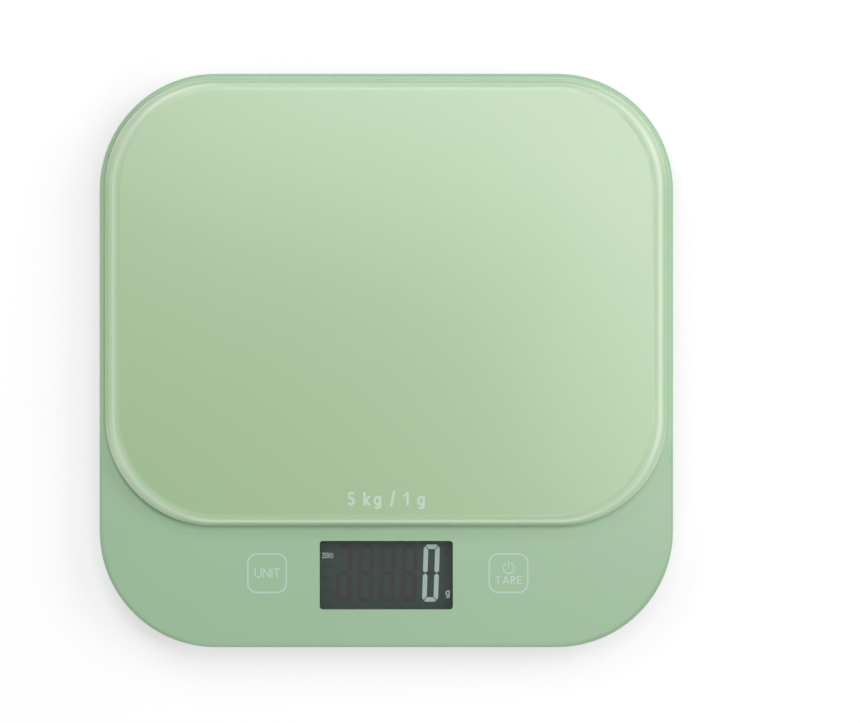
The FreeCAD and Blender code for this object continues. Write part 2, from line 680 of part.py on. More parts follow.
def battery_lead(y, run_x):
    """Lead from a contact tail, over the floor and up to the board."""
    low = FLOOR_TOP + BATTERY_LEAD / 2 + 0.05
    points = [
        (BAY_HALF_X + CONTACT_TAIL, y, TAIL_Z), (run_x, y, TAIL_Z), (run_x, y - 9.0, low),
        (run_x, LEAD_END_Y, low), (run_x, LEAD_END_Y, BOARD_BOTTOM),
    ]
    return lead(points, BATTERY_LEAD, BATTERY_LEAD_BEND)


# ---- display -------------------------------------------------------------------------
def display_window():
    """Clear window whose flange is stuck under the top cover."""
    pane = rounded_block(
        WINDOW_X, WINDOW_Y, WINDOW_CORNER, FLANGE_BOTTOM, COVER_TOP - WINDOW_SINK, WINDOW_CENTRE_Y
    )
    pane = round_rim(pane, COVER_TOP - WINDOW_SINK, 0.2)
    flange_top = COVER_INNER - WINDOW_TAPE
    flange = rounded_block(FLANGE_X, FLANGE_Y, 1.5, FLANGE_BOTTOM, flange_top, WINDOW_CENTRE_Y)
    return join(pane, flange)


def window_tape():
    """Thin adhesive frame between the window's flange and the top cover."""
    z0 = COVER_INNER - WINDOW_TAPE
    frame = rounded_block(FLANGE_X, FLANGE_Y, 1.5, z0, COVER_INNER, WINDOW_CENTRE_Y)
    hole = rounded_block(
        WINDOW_X + 0.6, WINDOW_Y + 0.6, WINDOW_CORNER, z0 - 1, COVER_INNER + 1, WINDOW_CENTRE_Y
    )
    return frame.cut(hole)


def lcd_polariser():
    return centred_box(0, WINDOW_CENTRE_Y, LCD_X - 1, LCD_Y - 1, POLARISER_TOP - POLARISER, POLARISER_TOP)


def lcd_front_glass():
    """Front glass, longer than the rear one by its contact ledge."""
    y0 = WINDOW_CENTRE_Y - LCD_Y / 2
    return box(-LCD_X / 2, LCD_X / 2, y0, y0 + LCD_Y + LCD_LEDGE, GLASS_SPLIT, GLASS_SPLIT + LCD_GLASS)


def lcd_rear_glass():
    return centred_box(0, WINDOW_CENTRE_Y, LCD_X, LCD_Y, BACKLIGHT_TOP, GLASS_SPLIT)


def backlight_panel():
    panel = centred_box(0, WINDOW_CENTRE_Y, LCD_X, LCD_Y, BOARD_TOP, BACKLIGHT_TOP)
    for x in (-LCD_X / 2, LCD_X / 2):
        panel = panel.cut(centred_box(x, WINDOW_CENTRE_Y, 3.6, 3.6, BOARD_TOP, BOARD_TOP + 1.6))
    return panel


def backlight_leds():
    """Two small lamps in the notches at the ends of the light panel."""
    reach = LCD_X / 2 - 0.8
    lamps = [centred_box(x, WINDOW_CENTRE_Y, 1.4, 3.0, BOARD_TOP, BOARD_TOP + 1.3) for x in (-reach, reach)]
    return Part.makeCompound(lamps)


def lcd_frame():
    """Frame on the board that locates the glass, the light panel and the zebra strip."""
    inner_x = LCD_X / 2 + FIT_GAP
    y0 = WINDOW_CENTRE_Y - LCD_Y / 2 - FIT_GAP
    y1 = WINDOW_CENTRE_Y + LCD_Y / 2 + LCD_LEDGE + FIT_GAP
    outside = box(
        -inner_x - FRAME_WALL, inner_x + FRAME_WALL, y0 - FRAME_WALL, y1 + FRAME_WALL, BOARD_TOP, FRAME_TOP
    )
    return outside.cut(box(-inner_x, inner_x, y0, y1, BOARD_TOP, FRAME_TOP))


def zebra_strip():
    """Rubber connector between the board and the front glass's ledge."""
    y0 = WINDOW_CENTRE_Y + LCD_Y / 2 + 0.5
    return box(-LCD_X / 2 + 1.5, LCD_X / 2 - 1.5, y0, y0 + 2.4, BOARD_TOP, GLASS_SPLIT)


# ---- circuit board -------------------------------------------------------------------
def circuit_board():
    middle_y = (BOARD_Y0 + BOARD_Y1) / 2
    board = rounded_block(BOARD_X, BOARD_Y1 - BOARD_Y0, 2, BOARD_BOTTOM, BOARD_TOP, middle_y)
    for x, y in BOARD_SCREWS:
        board = board.cut(disc(x, y, 1.2, BOARD_BOTTOM, BOARD_TOP))
    return board


def board_screws():
    tip = COVER_INNER - BOARD_SCREW_REACH
    screws = [screw_up(x, y, BOARD_BOTTOM, 1.9, 1.4, BOARD_SCREW_RADIUS, tip) for x, y in BOARD_SCREWS]
    return Part.makeCompound(screws)


def small_chip(x, y, size_x, size_y, height, pins):
    """Surface-mount chip under the board, with a row of pins along each long side."""
    z0 = BOARD_BOTTOM - height
    chip = centred_box(x, y, size_x, size_y, z0, BOARD_BOTTOM - 0.15)
    pitch = size_x / pins
    legs = []
    for number in range(pins):
        at_x = x - size_x / 2 + (number + 0.5) * pitch
        leg = centred_box(at_x, y, pitch * 0.4, size_y + 2.0, BOARD_BOTTOM - 0.5, BOARD_BOTTOM)
        legs.append(leg)
    return join(chip, *legs)


def controller_chip():
    return small_chip(0, -72, 13, 7.5, 2.3, 12)


def converter_chip():
    return small_chip(-22, -60, 7.0, 4.0, 1.7, 8)


def capacitors():
    """Two can capacitors and a row of small chip capacitors under the board."""
    parts = []
    for x in (20.0, 27.0):
        can = disc(x, -62, 2.5, BOARD_BOTTOM - 4.2, BOARD_BOTTOM)
        parts.append(round_rim(can, BOARD_BOTTOM - 4.2, 0.5))
    for number in range(6):
        parts.append(centred_box(-8 + number * 3.2, -60, 1.2, 2.0, BOARD_BOTTOM - 0.8, BOARD_BOTTOM))
    return Part.makeCompound(parts)


def touch_spring(side):
    """Coil that carries a touch key's signal from the board to the top cover."""
    spring = coil_spring(TOUCH_COIL_RADIUS, TOUCH_WIRE, COVER_INNER - BOARD_TOP, TOUCH_TURN)
    spring.translate(Vector(side * TOUCH_X, TOUCH_Y, BOARD_TOP))
    return spring


# ---- feet, housing screws, label -----------------------------------------------------
def foot(side_x, side_y):
    """Soft foot, stuck in its seat."""
    pad = disc(side_x * FOOT_AT, side_y * FOOT_AT, FOOT_RADIUS, 0, FOOT_SEAT)
    return round_rim(pad, 0, 0.6)


def housing_screws():
    """Six screws that close the housing from below."""
    screws = []
    for x, y in HOUSING_SCREWS:
        screws.append(screw_up(x, y, HOUSING_SEAT, 2.6, 1.8, HOUSING_SCREW_RADIUS, HOUSING_SCREW_TOP))
    return Part.makeCompound(screws)


def rating_label():
    """Blank label under the bottom cover."""
    return rounded_block(LABEL_X, LABEL_Y, 2, UNDERSIDE - LABEL_THICK, UNDERSIDE, LABEL_Y_AT)


def all_pieces():
    pieces = {
        "top_cover": top_cover(),
        "bottom_cover": bottom_cover(),
        "platform_glass": platform_glass(),
        "platform_tape": platform_tape(),
        "platform_carrier": platform_carrier(),
        "platform_plate": platform_plate(),
        "platform_screws": platform_screws(),
        "load_cell": load_cell(),
        "load_cell_plate": load_cell_plate(),
        "load_cell_screws": load_cell_screws(),
        "strain_gauges": strain_gauges(),
        "gauge_coating": gauge_coating(),
        "display_window": display_window(),
        "window_tape": window_tape(),
        "lcd_polariser": lcd_polariser(),
        "lcd_front_glass": lcd_front_glass(),
        "lcd_rear_glass": lcd_rear_glass(),
        "backlight_panel": backlight_panel(),
        "backlight_leds": backlight_leds(),
        "lcd_frame": lcd_frame(),
        "zebra_strip": zebra_strip(),
        "circuit_board": circuit_board(),
        "board_screws": board_screws(),
        "controller_chip": controller_chip(),
        "converter_chip": converter_chip(),
        "capacitors": capacitors(),
        "touch_spring_unit": touch_spring(-1),
        "touch_spring_tare": touch_spring(1),
        "battery_door": battery_door(),
        "battery_front": battery(BATTERY_FRONT_Y, 1),
        "battery_rear": battery(BATTERY_REAR_Y, -1),
        "contact_bridge": contact_bridge(),
        "contact_positive": terminal_plate(BATTERY_FRONT_Y),
        "contact_negative": terminal_plate(BATTERY_REAR_Y),
        "battery_spring_front": battery_spring(-1, BATTERY_FRONT_Y),
        "battery_spring_rear": battery_spring(1, BATTERY_REAR_Y),
        "battery_lead_red": battery_lead(BATTERY_FRONT_Y, RED_RUN_X),
        "battery_lead_black": battery_lead(BATTERY_REAR_Y, BLACK_RUN_X),
        "housing_screws": housing_screws(),
        "rating_label": rating_label(),
    }
    for number, colour in enumerate(("red", "black", "green", "white")):
        pieces["cell_lead_" + colour] = load_cell_lead(number)
    for name_x, side_x in (("left", -1), ("right", 1)):
        for name_y, side_y in (("front", -1), ("rear", 1)):
            pieces["foot_" + name_y + "_" + name_x] = foot(side_x, side_y)
    return pieces


def main():
    os.makedirs("parts", exist_ok=True)
    for name, shape in all_pieces().items():
        shape.exportStep(os.path.join("parts", name + ".step"))


main()
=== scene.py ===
"""Looks of the flat kitchen scale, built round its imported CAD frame. Metres, +Y to the rear."""
import json
import math

import bpy
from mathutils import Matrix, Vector
from mathutils.geometry import tessellate_polygon


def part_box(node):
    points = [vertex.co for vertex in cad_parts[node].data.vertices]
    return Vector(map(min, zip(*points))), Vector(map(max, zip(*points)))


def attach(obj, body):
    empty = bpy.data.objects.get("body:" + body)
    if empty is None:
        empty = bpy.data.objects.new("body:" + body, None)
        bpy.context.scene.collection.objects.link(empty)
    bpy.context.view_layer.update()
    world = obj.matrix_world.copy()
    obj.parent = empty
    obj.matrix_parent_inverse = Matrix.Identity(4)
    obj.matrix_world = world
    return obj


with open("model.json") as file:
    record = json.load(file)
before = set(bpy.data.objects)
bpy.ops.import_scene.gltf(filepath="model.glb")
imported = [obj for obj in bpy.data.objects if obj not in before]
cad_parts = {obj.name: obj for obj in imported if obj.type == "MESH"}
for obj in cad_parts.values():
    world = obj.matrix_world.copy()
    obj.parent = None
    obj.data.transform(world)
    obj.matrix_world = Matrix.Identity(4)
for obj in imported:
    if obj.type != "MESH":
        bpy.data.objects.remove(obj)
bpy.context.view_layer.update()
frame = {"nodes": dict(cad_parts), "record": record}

MM = 0.001

# ---- places, read from the frame ------------------------------------------------------
COVER_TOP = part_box("top_cover")[1].z
PLATFORM_LOW, PLATFORM_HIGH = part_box("platform_glass")
LCD_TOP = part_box("lcd_polariser")[1].z
DOOR_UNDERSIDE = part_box("battery_door")[0].z


def middle(node):
    low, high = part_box(node)
    return (low + high) / 2


DISPLAY = middle("display_window")
PLATFORM = middle("platform_glass")
PLATFORM_HALF = (PLATFORM_HIGH - PLATFORM_LOW) / 2
DOOR = middle("battery_door")
UNIT_KEY = middle("touch_spring_unit")
TARE_KEY = middle("touch_spring_tare")

# ---- sizes of the printing --------------------------------------------------------------
PRINT_THICK = 0.03 * MM        # ink stands this far above the surface
PRINT_SHIFT = 0.53 * MM        # the keys' print sits a little to the right of the springs under it
PRINT_RISE = 0.10 * MM         # and a little behind them
KEY_SIDE = 13.42 * MM          # the outline's size, corners and line width
KEY_CORNER = 3.25 * MM
KEY_LINE = 0.54 * MM
POWER_SHIFT = 0.06 * MM        # the power sign's middle from the print's middle
POWER_RISE = 1.75 * MM
POWER_OUTER = 2.08 * MM
POWER_INNER = 1.63 * MM
POWER_OPENING = 52             # degrees of the ring left open at the top
POWER_BAR = 2.4 * MM
POWER_BAR_RISE = 1.35 * MM     # the bar's middle from the ring's middle
MARK_FROM_EDGE = 9.5 * MM      # capacity mark's middle from the platform's front edge
ARROW_FROM_MIDDLE = 16 * MM    # arrow's tip from the door's middle, along X
ARROW_HALF = 2.6 * MM
ARROW_BACK = 1.2 * MM
ARROW_THICK = 0.25 * MM

# ---- sizes of the display's digits ------------------------------------------------------
DISPLAY_THICK = 0.02 * MM
DIGITS = 5
DIGIT_PITCH = 7.58 * MM
DIGIT_HEIGHT = 20.0 * MM
DIGIT_WIDTH = 5.6 * MM
DIGIT_BAR = 1.6 * MM
DIGIT_GAP = 0.24 * MM
DIGIT_SLANT = 0.033
DIGIT_SHIFT = 0.4 * MM         # the row of digits sits a little to the right of the window's middle
DIGIT_RISE = 0.56 * MM         # and a little behind it


# ---- node helpers -------------------------------------------------------------------
def new_material(name):
    mat = bpy.data.materials.new(name)
    mat.use_nodes = True
    tree = mat.node_tree
    shader = tree.nodes["Principled BSDF"]
    return mat, tree, shader


def object_place(tree):
    """The point in the object's own frame, in metres."""
    return tree.nodes.new("ShaderNodeTexCoord").outputs["Object"]


def noise(tree, scale, detail=3.0, roughness=0.5, stretch=(1, 1, 1)):
    place = object_place(tree)
    if stretch != (1, 1, 1):
        mapping = tree.nodes.new("ShaderNodeMapping")
        mapping.inputs["Scale"].default_value = stretch
        tree.links.new(place, mapping.inputs["Vector"])
        place = mapping.outputs["Vector"]
    node = tree.nodes.new("ShaderNodeTexNoise")
    node.inputs["Scale"].default_value = scale
    node.inputs["Detail"].default_value = detail
    node.inputs["Roughness"].default_value = roughness
    tree.links.new(place, node.inputs["Vector"])
    return node.outputs["Fac"]


def ramp(tree, factor, stops):
    """Colour ramp with (position, colour) stops; a colour may be one grey number."""
    node = tree.nodes.new("ShaderNodeValToRGB")
    elements = node.color_ramp.elements
    while len(elements) < len(stops):
        elements.new(0.5)
    for element, (position, colour) in zip(elements, stops):
        if not isinstance(colour, tuple):
            colour = (colour, colour, colour)
        element.position = position
        element.color = (*colour, 1.0)
    tree.links.new(factor, node.inputs["Fac"])
    return node.outputs["Color"]


def shade(colour, amount):
    return tuple(min(1.0, c * amount) for c in colour)


def vary_colour(tree, shader, colour, spread, scale):
    """Base colour that drifts a little from place to place."""
    factor = noise(tree, scale, 2.0)
    stops = [(0.3, shade(colour, 1 - spread)), (0.7, shade(colour, 1 + spread))]
    tree.links.new(ramp(tree, factor, stops), shader.inputs["Base Color"])


def vary_roughness(tree, shader, low, high, scale):
    factor = noise(tree, scale, 4.0)
    tree.links.new(ramp(tree, factor, [(0.3, low), (0.7, high)]), shader.inputs["Roughness"])


def add_bump(tree, shader, height, distance, strength):
    node = tree.nodes.new("ShaderNodeBump")
    node.inputs["Distance"].default_value = distance
    node.inputs["Strength"].default_value = strength
    tree.links.new(height, node.inputs["Height"])
    tree.links.new(node.outputs["Normal"], shader.inputs["Normal"])


def feed(tree, socket, value):
    """Give a socket a number, or link another socket to it."""
    if isinstance(value, (int, float)):
        socket.default_value = value
    else:
        tree.links.new(value, socket)


def mix_colours(tree, factor, first, second, blend="MIX"):
    """Mix of two colour sockets by a factor, which is a number or a socket."""
    node = tree.nodes.new("ShaderNodeMix")
    node.data_type = "RGBA"
    node.blend_type = blend
    feed(tree, node.inputs["Factor"], factor)
    tree.links.new(first, node.inputs["A"])
    tree.links.new(second, node.inputs["B"])
    return node.outputs["Result"]


def maths(tree, operation, *values):
    """One step of arithmetic on values that are numbers or sockets."""
    node = tree.nodes.new("ShaderNodeMath")
    node.operation = operation
    for socket, value in zip(node.inputs, values):
        feed(tree, socket, value)
    return node.outputs["Value"]


def one_axis(tree, vector, axis):
    split = tree.nodes.new("ShaderNodeSeparateXYZ")
    tree.links.new(vector, split.inputs["Vector"])
    return split.outputs[axis]


def place_axis(tree, axis):
    return one_axis(tree, object_place(tree), axis)


# ---- materials ------------------------------------------------------------------------
DRIFT_SCALE = 28.0             # noise scale of the plastics' slow drift of colour
DRIFT_SPREAD = 0.012


def spark_finish(tree, shader, roughness, grain=1500.0, depth=0.006 * MM, strength=0.35):
    """The fine spark texture of a mould."""
    vary_roughness(tree, shader, roughness - 0.03, roughness + 0.03, 220.0)
    add_bump(tree, shader, noise(tree, grain, 2.0, 0.6), depth, strength)
    shader.inputs["Specular IOR Level"].default_value = 0.42


def moulded_plastic(name, colour, roughness, *spark):
    """Moulded plastic. The spark is its texture's grain, depth and strength, if not the usual."""
    mat, tree, shader = new_material(name)
    vary_colour(tree, shader, colour, DRIFT_SPREAD, DRIFT_SCALE)
    spark_finish(tree, shader, roughness, *spark)
    return mat


def away_from(tree, axis, middle_place):
    """Distance along one axis from a place."""
    return maths(tree, "ABSOLUTE", maths(tree, "SUBTRACT", place_axis(tree, axis), middle_place))


def reach_past_corners(tree, centre, half, corner):
    """How far a point lies past the straight parts of a rounded rectangle, along X and along Y."""
    return [
        maths(tree, "SUBTRACT", away_from(tree, axis, centre[number]), half[number] - corner)
        for number, axis in enumerate("XY")
    ]


def distance_to_outline(tree, reach, corner):
    """Distance in the XY plane to a rounded rectangle's outline, in metres, negative inside."""
    beyond = [maths(tree, "MAXIMUM", side, 0.0) for side in reach]
    squares = [maths(tree, "MULTIPLY", side, side) for side in beyond]
    outside = maths(tree, "SQRT", maths(tree, "ADD", squares[0], squares[1]))
    inside = maths(tree, "MINIMUM", maths(tree, "MAXIMUM", reach[0], reach[1]), 0.0)
    return maths(tree, "SUBTRACT", maths(tree, "ADD", outside, inside), corner)


LINE_SHIFT = 0.3 * MM          # the painted highlight line's middle from the glass's middle, along X
LINE_INSET = (2.65 * MM, 1.55 * MM)
LINE_CORNER = 36.2 * MM
LINE_SPAN = 4.0                # the painted light's ramps reach this many mm to each side of the line
CORNER_BLEND = 0.45            # part of the corner over which the sides' painted light turns into the corners' own

# Painted highlight on the glass, as mm outward from the highlight line and the way from the face's
# colour to the highlight's. On the sides the rim's colour, lightened as painted light, then takes
# over, as mm outward and its shade. At the corners the painted light is brighter and wider, lifting
# the rim where it lies in shade.
SIDE_PAINTED_HIGHLIGHT = ((-2.8, 0.0), (-1.2, 0.75), (-0.6, 0.95), (-0.3, 1.55), (0.1, 1.55), (0.4, 1.0))
SIDE_RIM_PAINTED_LIGHT = ((0.75, 1.0), (2.0, 1.05))
CORNER_PAINTED_LIGHT = (
    (-2.9, 0.0), (-1.6, 1.05), (-0.8, 1.3), (-0.4, 1.85),
    (0.0, 1.85), (0.4, 1.35), (0.9, 1.4), (2.4, 1.9),
)


def satin_glass(name, face, line, rim):
    """Etched glass, tinted from behind. A painted highlight line runs round it, with painted light on
    the rim that is wider and brighter at the corners.
    """
    mat, tree, shader = new_material(name)
    centre = (PLATFORM.x + LINE_SHIFT, PLATFORM.y)
    half = [PLATFORM_HALF[number] - LINE_INSET[number] for number in (0, 1)]
    reach = reach_past_corners(tree, centre, half, LINE_CORNER)
    distance = distance_to_outline(tree, reach, LINE_CORNER)
    place = maths(tree, "MULTIPLY_ADD", distance, 0.5 / (LINE_SPAN * MM), 0.5)

    def toward_highlight(amount):
        return tuple(f + (l - f) * amount for f, l in zip(face, line))

    def painted_light_ramp(stops):
        return ramp(tree, place, [(0.5 + 0.5 * where / LINE_SPAN, colour) for where, colour in stops])

    # painted light: the rim's colour is lightened where its slopes lie in shade
    rim_painted_light_stops = [(where, shade(rim, amount)) for where, amount in SIDE_RIM_PAINTED_LIGHT]
    sides = painted_light_ramp([(where, toward_highlight(amount)) for where, amount in SIDE_PAINTED_HIGHLIGHT] + rim_painted_light_stops)
    # painted light at the corners, brighter and wider, where the rim lies in shade
    corners = painted_light_ramp([(where, toward_highlight(amount)) for where, amount in CORNER_PAINTED_LIGHT])
    nearer = maths(tree, "MINIMUM", reach[0], reach[1])
    at_corner = maths(tree, "MULTIPLY", nearer, 1 / (CORNER_BLEND * LINE_CORNER))
    at_corner.node.use_clamp = True
    painted_light_mix = mix_colours(tree, at_corner, sides, corners)
    drift = ramp(tree, noise(tree, 14.0, 2.0), [(0.3, 0.984), (0.7, 1.0)])
    tree.links.new(mix_colours(tree, 1.0, painted_light_mix, drift, "MULTIPLY"), shader.inputs["Base Color"])
    grain = maths(tree, "MULTIPLY", noise(tree, 300.0, 4.0), 0.04)
    etched = maths(tree, "ADD", ramp(tree, place, [(0.35, 0.36), (0.6, 0.50)]), grain)
    tree.links.new(etched, shader.inputs["Roughness"])
    add_bump(tree, shader, noise(tree, 2600.0, 2.0), 0.002 * MM, 0.18)
    shader.inputs["Coat Weight"].default_value = 1.0
    shader.inputs["Coat Roughness"].default_value = 0.21
    shader.inputs["IOR"].default_value = 1.5
    return mat


PLATFORM_CORNER = 37.5 * MM
BODY_PAINTED_LIGHT = 1.25               # painted light: how much lighter the housing is painted right beside the platform, where the platform shades it
BODY_PAINTED_LIGHT_REACH = 4.0 * MM     # and how far out that fades


def body_plastic(name, colour):
    """The housing's plastic, with painted light beside the platform: lighter there to cancel the
    platform's contact shadow.
    """
    mat, tree, shader = new_material(name)
    reach = reach_past_corners(tree, PLATFORM, PLATFORM_HALF, PLATFORM_CORNER)
    distance = distance_to_outline(tree, reach, PLATFORM_CORNER)
    away = maths(tree, "MULTIPLY", distance, 1 / BODY_PAINTED_LIGHT_REACH)
    # painted light: full lift at the platform's outline, fading out to the plastic's own colour
    painted_light_fade = ramp(tree, away, [(0.0, 1.0), (0.9, 1 / BODY_PAINTED_LIGHT)])
    darker, lighter = shade(colour, BODY_PAINTED_LIGHT - 0.015), shade(colour, BODY_PAINTED_LIGHT + 0.015)
    drift = ramp(tree, noise(tree, DRIFT_SCALE, 2.0), [(0.3, darker), (0.7, lighter)])
    tree.links.new(mix_colours(tree, 1.0, drift, painted_light_fade, "MULTIPLY"), shader.inputs["Base Color"])
    spark_finish(tree, shader, 0.42)
    shader.inputs["Coat Weight"].default_value = 0.6
    shader.inputs["Coat Roughness"].default_value = 0.25
    return mat


def metal(name, colour, roughness, stretch=(1, 1, 1), grain=900.0, depth=0.004 * MM):
    """Bare or plated metal with fine machining marks."""
    mat, tree, shader = new_material(name)
    vary_colour(tree, shader, colour, 0.05, 120.0)
    marks = noise(tree, grain, 4.0, 0.6, stretch)
    uneven = ramp(tree, marks, [(0.3, roughness - 0.08), (0.7, roughness + 0.08)])
    tree.links.new(uneven, shader.inputs["Roughness"])
    add_bump(tree, shader, marks, depth, 0.3)
    shader.inputs["Metallic"].default_value = 1.0
    return mat


def soft_rubber(name, colour, roughness=0.75):
    mat, tree, shader = new_material(name)
    vary_colour(tree, shader, colour, 0.05, 90.0)
    vary_roughness(tree, shader, roughness - 0.06, roughness + 0.06, 500.0)
    add_bump(tree, shader, noise(tree, 1800.0, 3.0), 0.012 * MM, 0.4)
    return mat


def clear_window(name):
    """Clear moulded pane: light passes straight through, and the surface still mirrors."""
    mat, tree, shader = new_material(name)
    vary_colour(tree, shader, (0.03, 0.045, 0.042), 0.02, 60.0)
    vary_roughness(tree, shader, 0.05, 0.08, 400.0)
    shader.inputs["Alpha"].default_value = 0.2
    shader.inputs["Specular IOR Level"].default_value = 1.0
    shader.inputs["Coat Weight"].default_value = 1.0
    return mat


def display_film(name, colour):
    """Front film of the display, dark and faintly mottled."""
    mat, tree, shader = new_material(name)
    vary_colour(tree, shader, colour, 0.04, 300.0)
    vary_roughness(tree, shader, 0.42, 0.50, 900.0)
    add_bump(tree, shader, noise(tree, 3000.0, 2.0), 0.001 * MM, 0.2)
    return mat


def printed_ink(name, colour, roughness=0.55, glow=0.0):
    mat, tree, shader = new_material(name)
    vary_colour(tree, shader, colour, 0.02, 700.0)
    vary_roughness(tree, shader, roughness - 0.04, roughness + 0.04, 900.0)
    if glow:
        shader.inputs["Emission Color"].default_value = (*colour, 1.0)
        shader.inputs["Emission Strength"].default_value = glow
    return mat


def board_lacquer(name):
    """Green solder lacquer over tracks that show as slightly lighter lines."""
    mat, tree, shader = new_material(name)
    brick = tree.nodes.new("ShaderNodeTexBrick")
    brick.inputs["Scale"].default_value = 220.0
    brick.inputs["Mortar Size"].default_value = 0.045
    brick.inputs["Color1"].default_value = (0.012, 0.075, 0.03, 1)
    brick.inputs["Color2"].default_value = (0.014, 0.085, 0.034, 1)
    brick.inputs["Mortar"].default_value = (0.03, 0.16, 0.06, 1)
    tree.links.new(object_place(tree), brick.inputs["Vector"])
    tree.links.new(brick.outputs["Color"], shader.inputs["Base Color"])
    vary_roughness(tree, shader, 0.28, 0.36, 500.0)
    add_bump(tree, shader, brick.outputs["Fac"], 0.02 * MM, 0.5)
    return mat


BATTERY_BAND = 12 * MM


def mottled(tree, scale, darker, lighter):
    return ramp(tree, noise(tree, scale), [(0.3, darker), (0.7, lighter)])


def battery_sleeve(name, node, plus_side):
    """Dark sleeve with a pale band at the positive end, over a steel can."""
    low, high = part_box(node)
    mat, tree, shader = new_material(name)
    if plus_side > 0:
        in_band = maths(tree, "GREATER_THAN", place_axis(tree, "X"), high.x - BATTERY_BAND)
    else:
        in_band = maths(tree, "LESS_THAN", place_axis(tree, "X"), low.x + BATTERY_BAND)
    dark = mottled(tree, 200.0, (0.012, 0.016, 0.02), (0.016, 0.021, 0.026))
    pale = mottled(tree, 200.0, (0.42, 0.43, 0.43), (0.47, 0.48, 0.48))
    steel = mottled(tree, 900.0, (0.55, 0.55, 0.54), (0.63, 0.63, 0.62))
    sleeve = mix_colours(tree, in_band, dark, pale)
    normal = tree.nodes.new("ShaderNodeNewGeometry").outputs["Normal"]
    facing = maths(tree, "ABSOLUTE", one_axis(tree, normal, "X"))
    at_end = maths(tree, "GREATER_THAN", facing, 0.75)
    tree.links.new(mix_colours(tree, at_end, sleeve, steel), shader.inputs["Base Color"])
    tree.links.new(at_end, shader.inputs["Metallic"])
    vary_roughness(tree, shader, 0.28, 0.36, 500.0)
    add_bump(tree, shader, noise(tree, 700.0, 2.0), 0.004 * MM, 0.2)
    return mat


LABEL_LINE = (1.6 * MM, 1.9 * MM)      # the frame line's two sides from the label's edge


def label_paper(name):
    """Blank label: matt film with a thin grey frame line near its edge."""
    low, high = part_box("rating_label")
    centre, half = (low + high) / 2, (high - low) / 2
    mat, tree, shader = new_material(name)
    from_side = maths(tree, "SUBTRACT", half.x, away_from(tree, "X", centre.x))
    from_end = maths(tree, "SUBTRACT", half.y, away_from(tree, "Y", centre.y))
    depth = maths(tree, "MINIMUM", from_side, from_end)
    past_start = maths(tree, "GREATER_THAN", depth, LABEL_LINE[0])
    before_end = maths(tree, "LESS_THAN", depth, LABEL_LINE[1])
    line = maths(tree, "MULTIPLY", past_start, before_end)
    paper = mottled(tree, 160.0, (0.74, 0.75, 0.73), (0.78, 0.79, 0.77))
    grey = mottled(tree, 400.0, (0.24, 0.26, 0.25), (0.27, 0.29, 0.28))
    tree.links.new(mix_colours(tree, line, paper, grey), shader.inputs["Base Color"])
    vary_roughness(tree, shader, 0.5, 0.6, 500.0)
    return mat


SAGE = (0.290, 0.456, 0.281)
SAGE_UNDER = (0.277, 0.436, 0.268)
GLASS_FACE = (0.317, 0.473, 0.260)
# painted highlight of the glass's edge line, and its rim lightened as painted light
GLASS_PAINTED_HIGHLIGHT = (0.425, 0.572, 0.372)
GLASS_RIM_PAINTED_LIGHT = (0.362, 0.548, 0.298)
KEY_INK = (0.418, 0.548, 0.457)
MARK_INK = (0.47, 0.585, 0.47)
LIT_INK = (0.45, 0.565, 0.51)
LIT_GLOW = 0.47
UNLIT_INK = (0.080, 0.062, 0.083)


def cad_materials():
    """One detailed material for every slot of the record."""
    return {
        "body_plastic": body_plastic("body_plastic", SAGE),
        "base_plastic": moulded_plastic("base_plastic", SAGE_UNDER, 0.56, 900.0, 0.015 * MM, 0.5),
        "platform_glass": satin_glass("platform_glass", GLASS_FACE, GLASS_PAINTED_HIGHLIGHT, GLASS_RIM_PAINTED_LIGHT),
        "foam_tape": soft_rubber("foam_tape", (0.70, 0.70, 0.68), 0.9),
        "inner_plastic": moulded_plastic("inner_plastic", (0.62, 0.62, 0.60), 0.5),
        "plate_steel": metal("plate_steel", (0.55, 0.56, 0.58), 0.38, (1, 12, 1)),
        "screw_steel": metal("screw_steel", (0.62, 0.63, 0.65), 0.3),
        "bar_aluminium": metal("bar_aluminium", (0.77, 0.78, 0.79), 0.35, (1, 14, 14)),
        "gauge_foil": printed_ink("gauge_foil", (0.52, 0.20, 0.04), 0.3),
        "sealant": soft_rubber("sealant", (0.78, 0.78, 0.76), 0.5),
        "wire_red": soft_rubber("wire_red", (0.45, 0.02, 0.02), 0.45),
        "wire_black": soft_rubber("wire_black", (0.02, 0.02, 0.02), 0.45),
        "wire_green": soft_rubber("wire_green", (0.02, 0.22, 0.06), 0.45),
        "wire_white": soft_rubber("wire_white", (0.75, 0.75, 0.73), 0.45),
        "window_clear": clear_window("window_clear"),
        "black_tape": soft_rubber("black_tape", (0.030, 0.042, 0.034), 0.8),
        "polariser_film": display_film("polariser_film", (0.068, 0.100, 0.078)),
        "lcd_glass": clear_window("lcd_glass"),
        "light_panel": moulded_plastic("light_panel", (0.82, 0.83, 0.82), 0.3),
        "lamp_plastic": printed_ink("lamp_plastic", (0.85, 0.78, 0.35), 0.3),
        "connector_rubber": soft_rubber("connector_rubber", (0.55, 0.25, 0.28), 0.7),
        "board_laminate": board_lacquer("board_laminate"),
        "chip_plastic": moulded_plastic("chip_plastic", (0.012, 0.012, 0.013), 0.5),
        "capacitor_can": metal("capacitor_can", (0.66, 0.67, 0.69), 0.3),
        "spring_wire": metal("spring_wire", (0.70, 0.69, 0.66), 0.25),
        "contact_metal": metal("contact_metal", (0.72, 0.71, 0.68), 0.3, (1, 1, 10)),
        "battery_front": battery_sleeve("battery_sleeve_front", "battery_front", 1),
        "battery_rear": battery_sleeve("battery_sleeve_rear", "battery_rear", -1),
        "foot_rubber": soft_rubber("foot_rubber", (0.62, 0.65, 0.62), 0.8),
        "label_paper": label_paper("label_paper"),
    }


